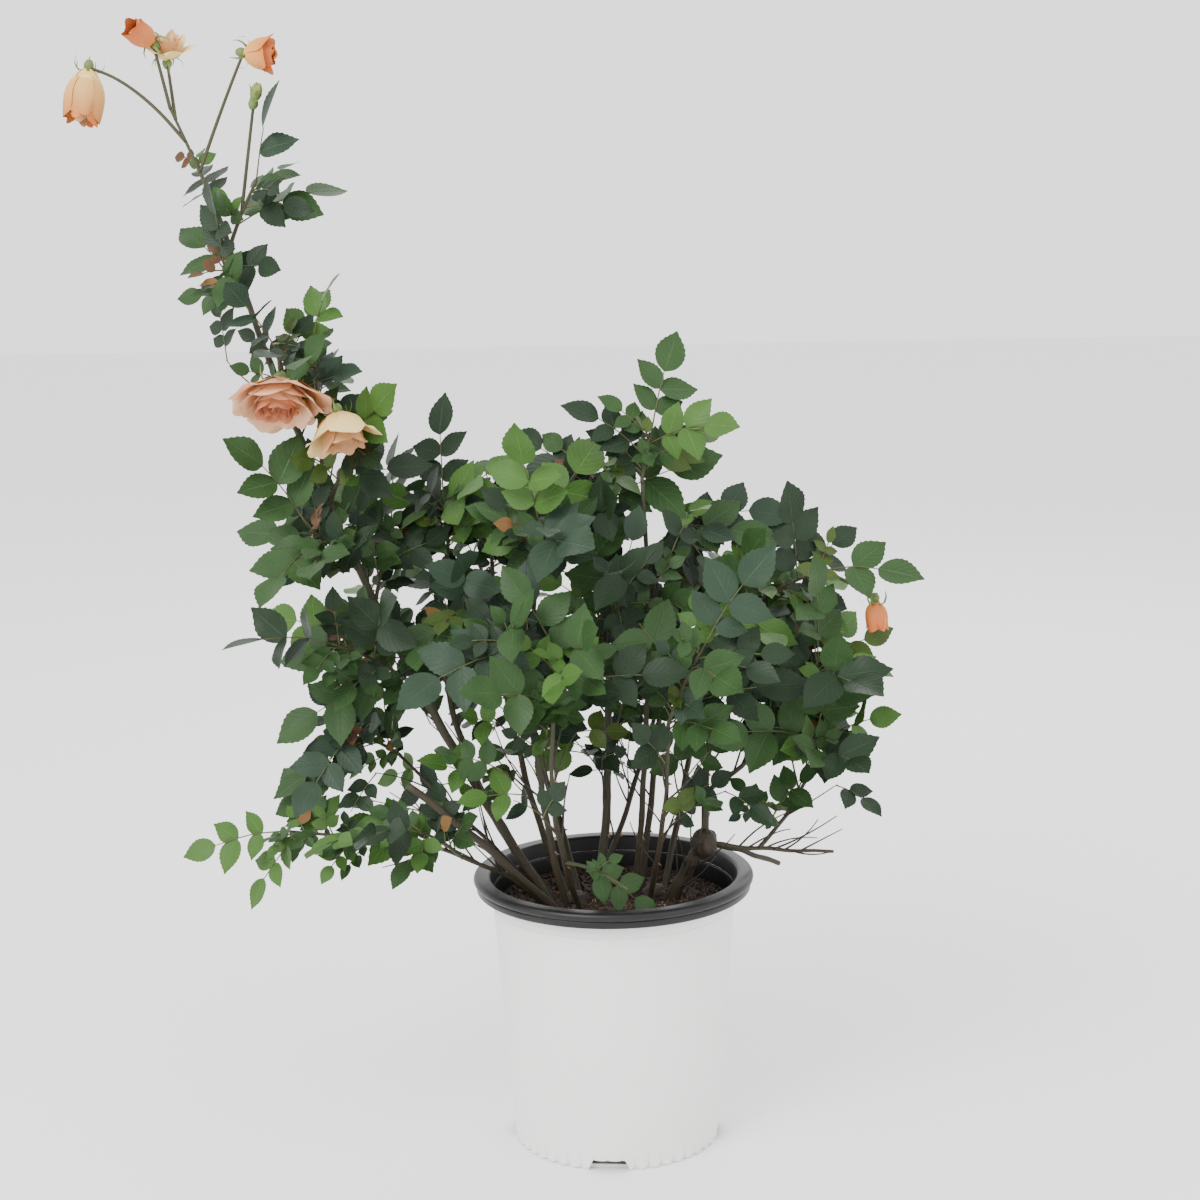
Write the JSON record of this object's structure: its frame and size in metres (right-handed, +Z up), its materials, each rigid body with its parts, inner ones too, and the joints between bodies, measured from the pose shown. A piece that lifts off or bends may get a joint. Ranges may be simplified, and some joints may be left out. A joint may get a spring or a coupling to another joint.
{
  "type": "potted apricot rose",
  "caption": "Shrub rose in a round nursery pot: thin canes branching into open masses of leaflets, with a few honey apricot blooms and buds, and one long arching cane.",
  "frame": {"origin": "middle of the pot's flat underside, on the surface that the pot stands on", "axes": "+Z up; the side that the picture shows faces -Y; +X to the viewer's right"},
  "size_m": [0.7018, 0.4726, 0.9726],
  "materials": {
    "white_pot": "white printed outside left bare, black lip and inside",
    "potting_mix": "rough damp bark and peat",
    "cane_bark": "brown to green bark",
    "rose_leaf": "semi-matt leaf"
  },
  "bodies": {
    "root": {"pot": "white_pot", "potting_mix": "potting_mix", "left_crown": "cane_bark", "right_crown": "cane_bark", "burl": "cane_bark", "tall_cane": "cane_bark", "left_cane": "cane_bark", "left_inner_cane": "cane_bark", "left_front_cane": "cane_bark", "middle_cane": "cane_bark", "low_left_cane": "cane_bark", "cut_stub": "cane_bark", "left_thin_cane": "cane_bark", "front_cane": "cane_bark", "back_left_cane": "cane_bark", "crossing_cane": "cane_bark", "right_trunk": "cane_bark", "spike_cane": "cane_bark", "right_inner_cane": "cane_bark", "right_back_cane": "cane_bark", "right_front_cane": "cane_bark", "right_cane": "cane_bark", "right_branch": "cane_bark", "bare_branch": "cane_bark", "low_right_branch": "cane_bark", "dark_stub": "cane_bark", "top_bloom_spray": "rose_leaf", "tall_right_leaves": "rose_leaf", "tall_left_leaves": "rose_leaf", "tall_shoot": "rose_leaf", "open_bloom_spray": "rose_leaf", "faded_bloom_spray": "rose_leaf", "left_upper_leaves": "rose_leaf", "left_inner_leaves": "rose_leaf", "left_middle_leaves": "rose_leaf", "left_back_leaves": "rose_leaf", "left_low_leaves": "rose_leaf", "low_left_spray": "rose_leaf", "low_left_leaves": "rose_leaf", "left_cane_leaves": "rose_leaf", "left_cane_low_leaves": "rose_leaf", "inner_cane_leaves": "rose_leaf", "front_left_leaves": "rose_leaf", "front_left_low_leaves": "rose_leaf", "middle_leaves": "rose_leaf", "middle_low_leaves": "rose_leaf", "front_leaves": "rose_leaf", "back_left_leaves": "rose_leaf", "back_leaves": "rose_leaf", "spike_leaves": "rose_leaf", "right_inner_leaves": "rose_leaf", "right_back_leaves": "rose_leaf", "right_top_leaves": "rose_leaf", "bud_spray": "rose_leaf", "right_middle_leaves": "rose_leaf", "right_front_leaves": "rose_leaf", "right_low_leaves": "rose_leaf", "low_right_sprig": "rose_leaf", "rim_sprig": "rose_leaf"}
  },
  "joints": []
}
